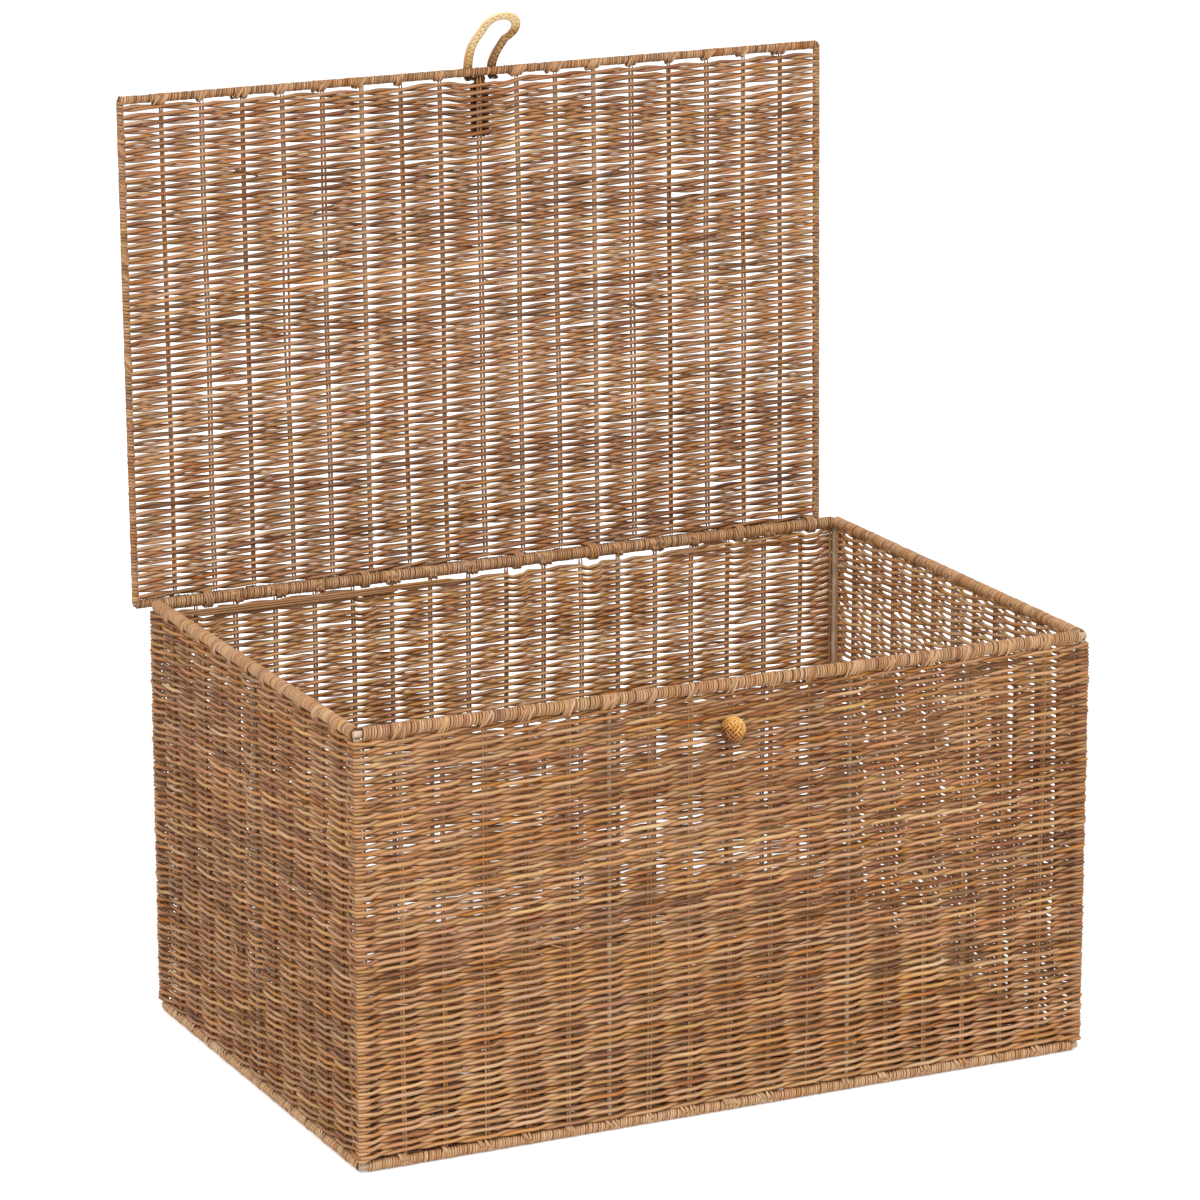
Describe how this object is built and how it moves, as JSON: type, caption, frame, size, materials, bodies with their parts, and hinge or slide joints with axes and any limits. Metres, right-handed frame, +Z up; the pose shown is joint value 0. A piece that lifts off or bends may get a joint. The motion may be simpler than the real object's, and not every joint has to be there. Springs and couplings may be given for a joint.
{
  "type": "woven lidded trunk",
  "caption": "Rectangular woven cane trunk on a metal rod frame, with a tied lid that swings open and a strap loop that hooks on a ball knob.",
  "frame": {"origin": "middle of the base's underside, on the floor", "axes": "+Z up, -Y towards the front wall with the knob, +X to the right as seen from the front"},
  "size_m": [0.7267, 0.513, 0.9098],
  "materials": {
    "frame_metal": "dull bare iron rod, slightly rusty pink grey",
    "wall_cane": "smoked round cane, satin, each strand a little lighter or darker",
    "lid_cane": "smoked round cane, satin, redder brown",
    "rim_cane": "pale tan cane wrapping, satin",
    "lid_rim_cane": "tan cane wrapping and ties, satin",
    "strap_cane": "golden split cane, light gloss"
  },
  "bodies": {
    "box": {"rim_rod_front": "frame_metal", "rim_rod_back": "frame_metal", "rim_rod_left": "frame_metal", "rim_rod_right": "frame_metal", "base_rod_front": "frame_metal", "base_rod_back": "frame_metal", "base_rod_left": "frame_metal", "base_rod_right": "frame_metal", "corner_post_front_left": "frame_metal", "corner_post_front_right": "frame_metal", "corner_post_back_left": "frame_metal", "corner_post_back_right": "frame_metal", "upright_front_left": "frame_metal", "upright_front_right": "frame_metal", "upright_back_left": "frame_metal", "upright_back_right": "frame_metal", "upright_left": "frame_metal", "upright_right": "frame_metal", "base_bar_left": "frame_metal", "base_bar_right": "frame_metal", "rim_wrap_front": "rim_cane", "rim_wrap_back": "rim_cane", "rim_wrap_left": "rim_cane", "rim_wrap_right": "rim_cane", "base_wrap_front": "rim_cane", "base_wrap_back": "rim_cane", "base_wrap_left": "rim_cane", "base_wrap_right": "rim_cane", "weave_front": "wall_cane", "weave_back": "wall_cane", "weave_left": "wall_cane", "weave_right": "wall_cane", "weave_base": "wall_cane", "knob": "strap_cane", "knob_knot": "strap_cane"},
    "lid": {"lid_rod_back": "frame_metal", "lid_rod_front": "frame_metal", "lid_rod_left": "frame_metal", "lid_rod_right": "frame_metal", "lid_bar_left": "frame_metal", "lid_bar_right": "frame_metal", "lid_wrap_front": "lid_rim_cane", "lid_wrap_back": "lid_rim_cane", "lid_wrap_left": "lid_rim_cane", "lid_wrap_right": "lid_rim_cane", "lid_weave": "lid_cane", "hinge_tie_1": "lid_rim_cane", "hinge_tie_2": "lid_rim_cane", "hinge_tie_3": "lid_rim_cane", "hinge_tie_4": "lid_rim_cane", "hinge_tie_5": "lid_rim_cane", "hinge_tie_6": "lid_rim_cane", "loop_anchor": "strap_cane"},
    "loop": {"loop_strap": "strap_cane"}
  },
  "joints": [
    {"name": "lid_hinge", "type": "hinge", "parent": "box", "child": "lid", "pos_m": [-0.016, 0.23, 0.3889], "axis": [1, 0, 0], "range_deg": [0, 91]},
    {"name": "loop_fold", "type": "hinge", "parent": "lid", "child": "loop", "pos_m": [-0.012, 0.24845, 0.85015], "axis": [1, 0, 0], "range_deg": [-38, 52], "stiffness_Nm_per_rad": 0.08}
  ]
}
